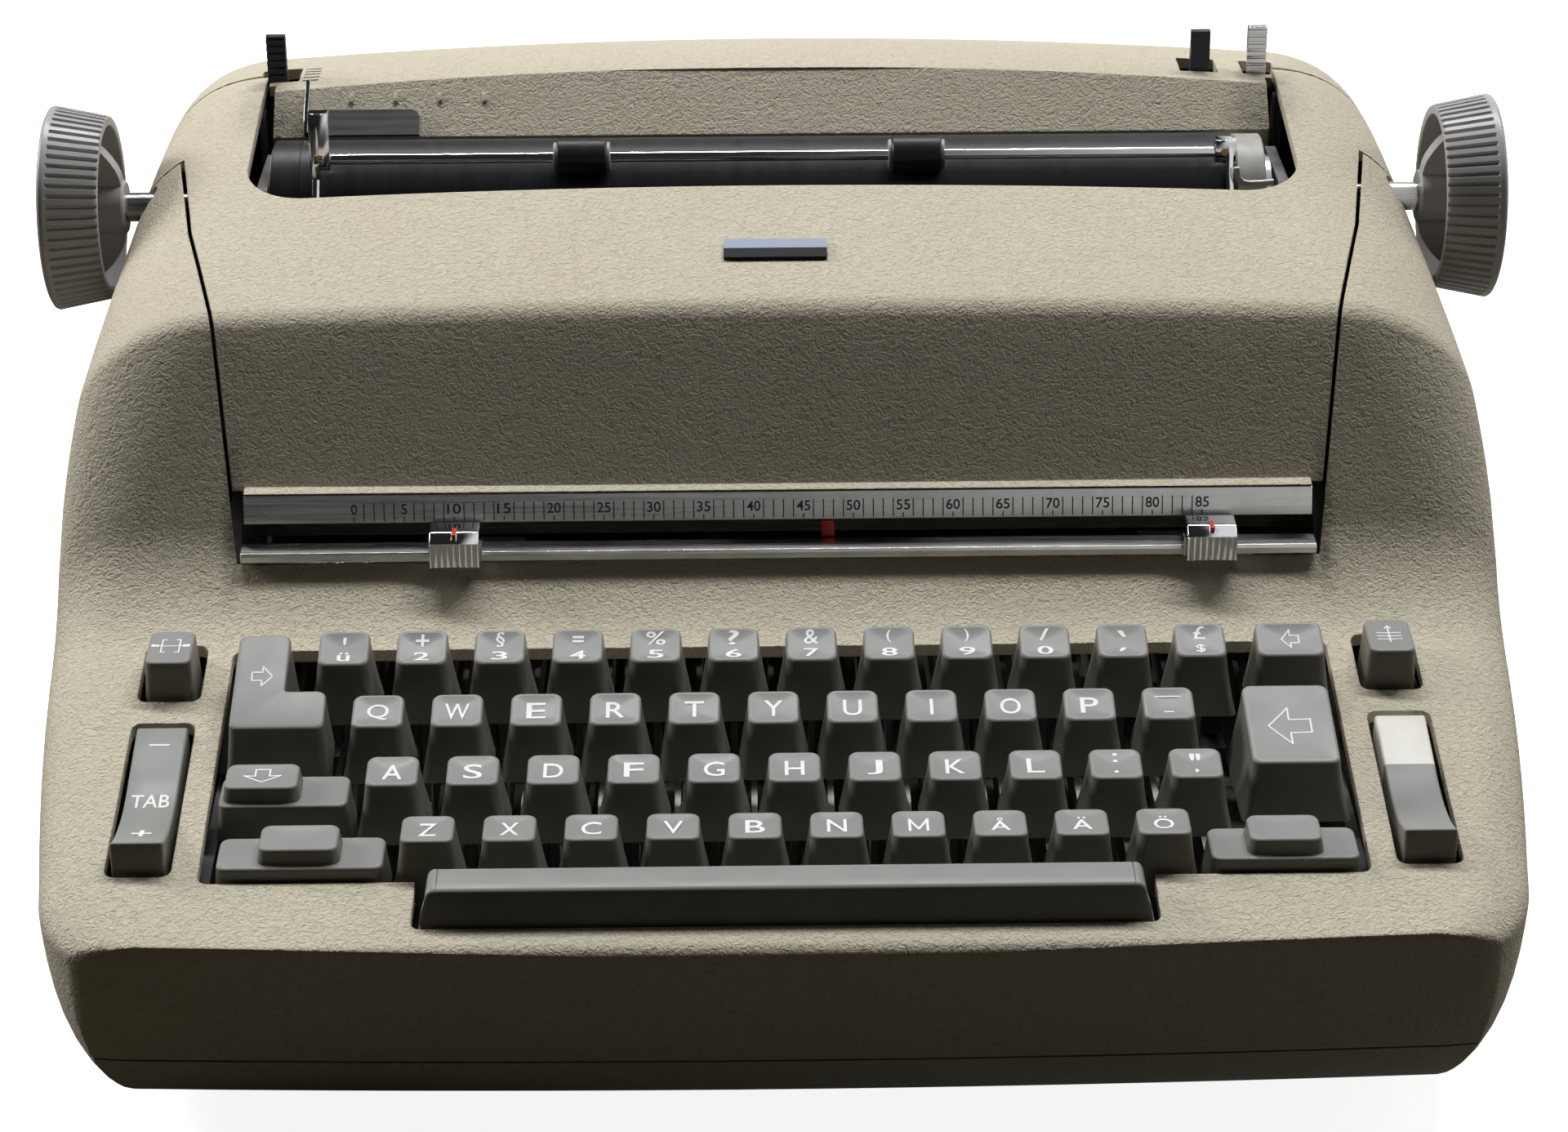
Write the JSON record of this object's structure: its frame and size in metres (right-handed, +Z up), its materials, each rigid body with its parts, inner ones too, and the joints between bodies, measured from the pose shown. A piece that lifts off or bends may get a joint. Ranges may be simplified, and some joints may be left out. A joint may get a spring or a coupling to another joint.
{
  "type": "electric typewriter",
  "caption": "Desktop electric typewriter with a hinged cover, fixed platen with ribbed knobs, travelling carrier with a ball element, and a full keyboard.",
  "frame": {"origin": "on the desk under the middle of the machine", "axes": "+X to the typist's right along the platen, +Y to the back, +Z up"},
  "size_m": [0.3986, 0.374, 0.184],
  "materials": {
    "black_plastic": "satin",
    "chrome": "polished",
    "frame_metal": "cast",
    "key_plastic": "satin",
    "knob_plastic": "satin",
    "motor_paint": "satin",
    "paint": "crinkle",
    "plate_metal": "gloss",
    "rubber": "matt",
    "scale_metal": "brushed",
    "steel": "brushed"
  },
  "bodies": {
    "chassis": {"bottom_case": "paint", "main_case": "paint", "rubber_feet": "rubber", "power_frame": "frame_metal", "case_screws": "steel", "power_inlet": "black_plastic", "key_guide_comb": "steel", "key_fulcrum_rod": "steel", "rocker_pivot_pins": "steel", "lever_pivot_pins": "steel", "cover_hinge_brackets": "steel", "margin_rail": "scale_metal", "carrier_rail": "steel", "escapement_rack": "steel", "paper_pan": "steel", "motor": "motor_paint", "drive_belt": "rubber"},
    "cover": {"top_cover": "paint", "name_plate": "plate_metal", "writing_scale": "scale_metal", "cover_hinge_arms": "steel"},
    "platen_unit": {"platen": "rubber", "platen_shaft": "steel", "left_knob": "knob_plastic", "right_knob": "knob_plastic"},
    "front_feed": {"front_feed_roller": "rubber"},
    "rear_feed": {"rear_feed_roller": "rubber"},
    "bail": {"bail_arms": "chrome", "bail_rod": "chrome"},
    "bail_roller_set": {"bail_rollers": "rubber"},
    "guide": {"paper_guide": "plate_metal"},
    "copy_control": {"copy_control_lever": "black_plastic"},
    "line_space": {"line_space_lever": "black_plastic"},
    "paper_release": {"paper_release_lever": "chrome"},
    "left_stop": {"left_margin_stop": "chrome"},
    "right_stop": {"right_margin_stop": "chrome"},
    "carrier_unit": {"carrier": "frame_metal"},
    "ribbon": {"ribbon_cartridge": "black_plastic"},
    "element": {"typing_element": "scale_metal"},
    "drive_shaft": {"print_shaft": "steel", "drive_hub": "steel"},
    "motor_rotor": {"motor_pulley": "steel"},
    "number_row_bank": {"number_row_keys": "key_plastic"},
    "upper_row_bank": {"upper_row_keys": "key_plastic"},
    "home_row_bank": {"home_row_keys": "key_plastic"},
    "bottom_row_bank": {"bottom_row_keys": "key_plastic"},
    "tab_key_unit": {"tab_key": "key_plastic"},
    "backspace_key_unit": {"backspace_key": "key_plastic"},
    "return_key_unit": {"return_key": "key_plastic"},
    "shift_lock_key_unit": {"shift_lock_key": "key_plastic"},
    "left_shift_key_unit": {"left_shift_key": "key_plastic"},
    "right_shift_key_unit": {"right_shift_key": "key_plastic"},
    "space_bar_unit": {"space_bar": "key_plastic"},
    "margin_release_key_unit": {"margin_release_key": "key_plastic"},
    "index_key_unit": {"index_key": "key_plastic"},
    "tab_rocker_unit": {"tab_rocker": "key_plastic"},
    "power_rocker_unit": {"power_rocker": "key_plastic"}
  },
  "joints": [
    {"name": "cover_hinge", "type": "hinge", "parent": "chassis", "child": "cover", "pos_m": [0, 0.098, 0.1615], "axis": [-1, 0, 0], "range_deg": [0, 60]},
    {"name": "platen_spin", "type": "hinge", "parent": "chassis", "child": "platen_unit", "pos_m": [0, 0.063, 0.1466], "axis": [1, 0, 0], "continuous": true},
    {"name": "front_feed_spin", "type": "hinge", "parent": "chassis", "child": "front_feed", "pos_m": [0, 0.05474, 0.12391], "axis": [1, 0, 0], "continuous": true},
    {"name": "rear_feed_spin", "type": "hinge", "parent": "chassis", "child": "rear_feed", "pos_m": [0, 0.07126, 0.12391], "axis": [1, 0, 0], "continuous": true},
    {"name": "bail_swing", "type": "hinge", "parent": "chassis", "child": "bail", "pos_m": [0, 0.048, 0.118], "axis": [1, 0, 0], "range_deg": [0, 12]},
    {"name": "bail_roller_spin", "type": "hinge", "parent": "bail", "child": "bail_roller_set", "pos_m": [0, 0.049, 0.1651], "axis": [1, 0, 0], "continuous": true},
    {"name": "guide_slide", "type": "slide", "parent": "chassis", "child": "guide", "axis": [1, 0, 0], "range_m": [-0.006, 0.12]},
    {"name": "copy_control_tilt", "type": "hinge", "parent": "chassis", "child": "copy_control", "pos_m": [-0.14, 0.104, 0.132], "axis": [-1, 0, 0], "range_deg": [0, 9]},
    {"name": "line_space_tilt", "type": "hinge", "parent": "chassis", "child": "line_space", "pos_m": [0.1219, 0.104, 0.132], "axis": [-1, 0, 0], "range_deg": [0, 9]},
    {"name": "paper_release_tilt", "type": "hinge", "parent": "chassis", "child": "paper_release", "pos_m": [0.138, 0.104, 0.132], "axis": [-1, 0, 0], "range_deg": [0, 9]},
    {"name": "left_stop_slide", "type": "slide", "parent": "chassis", "child": "left_stop", "axis": [1, 0, 0], "range_m": [-0.045, 0.055]},
    {"name": "right_stop_slide", "type": "slide", "parent": "chassis", "child": "right_stop", "axis": [1, 0, 0], "range_m": [-0.085, 0.018]},
    {"name": "carrier_travel", "type": "slide", "parent": "chassis", "child": "carrier_unit", "axis": [1, 0, 0], "range_m": [-0.118, 0.093]},
    {"name": "ribbon_lift", "type": "hinge", "parent": "carrier_unit", "child": "ribbon", "pos_m": [0.0125, -0.025, 0.1178], "axis": [1, 0, 0], "range_deg": [0, 8]},
    {"name": "element_turn", "type": "hinge", "parent": "carrier_unit", "child": "element", "pos_m": [0.0125, 0.0254, 0.141], "axis": [0, 0, 1], "continuous": true},
    {"name": "print_shaft_spin", "type": "hinge", "parent": "chassis", "child": "drive_shaft", "pos_m": [0, 0.008, 0.104], "axis": [1, 0, 0], "continuous": true},
    {"name": "motor_spin", "type": "hinge", "parent": "chassis", "child": "motor_rotor", "pos_m": [0, 0.118, 0.06], "axis": [1, 0, 0], "continuous": true},
    {"name": "number_press", "type": "hinge", "parent": "chassis", "child": "number_row_bank", "pos_m": [0, 0.04, 0.045], "axis": [1, 0, 0], "range_deg": [0, 1.65], "stiffness_Nm_per_rad": 4, "springref_deg": -5.73},
    {"name": "upper_press", "type": "hinge", "parent": "chassis", "child": "upper_row_bank", "pos_m": [0, 0.04, 0.045], "axis": [1, 0, 0], "range_deg": [0, 1.5], "stiffness_Nm_per_rad": 4, "springref_deg": -5.73},
    {"name": "home_press", "type": "hinge", "parent": "chassis", "child": "home_row_bank", "pos_m": [0, 0.04, 0.045], "axis": [1, 0, 0], "range_deg": [0, 1.3], "stiffness_Nm_per_rad": 4, "springref_deg": -5.73},
    {"name": "bottom_press", "type": "hinge", "parent": "chassis", "child": "bottom_row_bank", "pos_m": [0, 0.04, 0.045], "axis": [1, 0, 0], "range_deg": [0, 1.18], "stiffness_Nm_per_rad": 4, "springref_deg": -5.73},
    {"name": "tab_press", "type": "hinge", "parent": "chassis", "child": "tab_key_unit", "pos_m": [0, 0.04, 0.045], "axis": [1, 0, 0], "range_deg": [0, 1.65], "stiffness_Nm_per_rad": 1.2, "springref_deg": -5.73},
    {"name": "backspace_press", "type": "hinge", "parent": "chassis", "child": "backspace_key_unit", "pos_m": [0, 0.04, 0.045], "axis": [1, 0, 0], "range_deg": [0, 1.65], "stiffness_Nm_per_rad": 1.2, "springref_deg": -5.73},
    {"name": "return_press", "type": "hinge", "parent": "chassis", "child": "return_key_unit", "pos_m": [0, 0.04, 0.045], "axis": [1, 0, 0], "range_deg": [0, 1.4], "stiffness_Nm_per_rad": 1.6, "springref_deg": -5.73},
    {"name": "shift_lock_press", "type": "hinge", "parent": "chassis", "child": "shift_lock_key_unit", "pos_m": [0, 0.04, 0.045], "axis": [1, 0, 0], "range_deg": [0, 1.3], "stiffness_Nm_per_rad": 1.2, "springref_deg": -5.73},
    {"name": "left_shift_press", "type": "hinge", "parent": "chassis", "child": "left_shift_key_unit", "pos_m": [0, 0.04, 0.045], "axis": [1, 0, 0], "range_deg": [0, 1.18], "stiffness_Nm_per_rad": 1.2, "springref_deg": -5.73},
    {"name": "right_shift_press", "type": "hinge", "parent": "chassis", "child": "right_shift_key_unit", "pos_m": [0, 0.04, 0.045], "axis": [1, 0, 0], "range_deg": [0, 1.18], "stiffness_Nm_per_rad": 1.2, "springref_deg": -5.73},
    {"name": "space_press", "type": "hinge", "parent": "chassis", "child": "space_bar_unit", "pos_m": [0, 0.04, 0.045], "axis": [1, 0, 0], "range_deg": [0, 1.1], "stiffness_Nm_per_rad": 2, "springref_deg": -5.73},
    {"name": "margin_release_press", "type": "hinge", "parent": "chassis", "child": "margin_release_key_unit", "pos_m": [0, 0.04, 0.045], "axis": [1, 0, 0], "range_deg": [0, 1.4], "stiffness_Nm_per_rad": 1.2, "springref_deg": -5.73},
    {"name": "index_press", "type": "hinge", "parent": "chassis", "child": "index_key_unit", "pos_m": [0, 0.04, 0.045], "axis": [1, 0, 0], "range_deg": [0, 1.4], "stiffness_Nm_per_rad": 1.2, "springref_deg": -5.73},
    {"name": "tab_rock", "type": "hinge", "parent": "chassis", "child": "tab_rocker_unit", "pos_m": [-0.1504, -0.1347, 0.06], "axis": [1, 0, 0], "range_deg": [-3, 3], "stiffness_Nm_per_rad": 0.3},
    {"name": "power_rock", "type": "hinge", "parent": "chassis", "child": "power_rocker_unit", "pos_m": [0.1504, -0.1347, 0.06], "axis": [1, 0, 0], "range_deg": [-3, 3]}
  ],
  "couplings": [
    {"joint": "front_feed_spin", "follows": "platen_spin", "ratio": -3},
    {"joint": "rear_feed_spin", "follows": "platen_spin", "ratio": -3},
    {"joint": "motor_spin", "follows": "print_shaft_spin", "ratio": 2.8},
    {"joint": "right_shift_press", "follows": "left_shift_press", "ratio": 1}
  ]
}
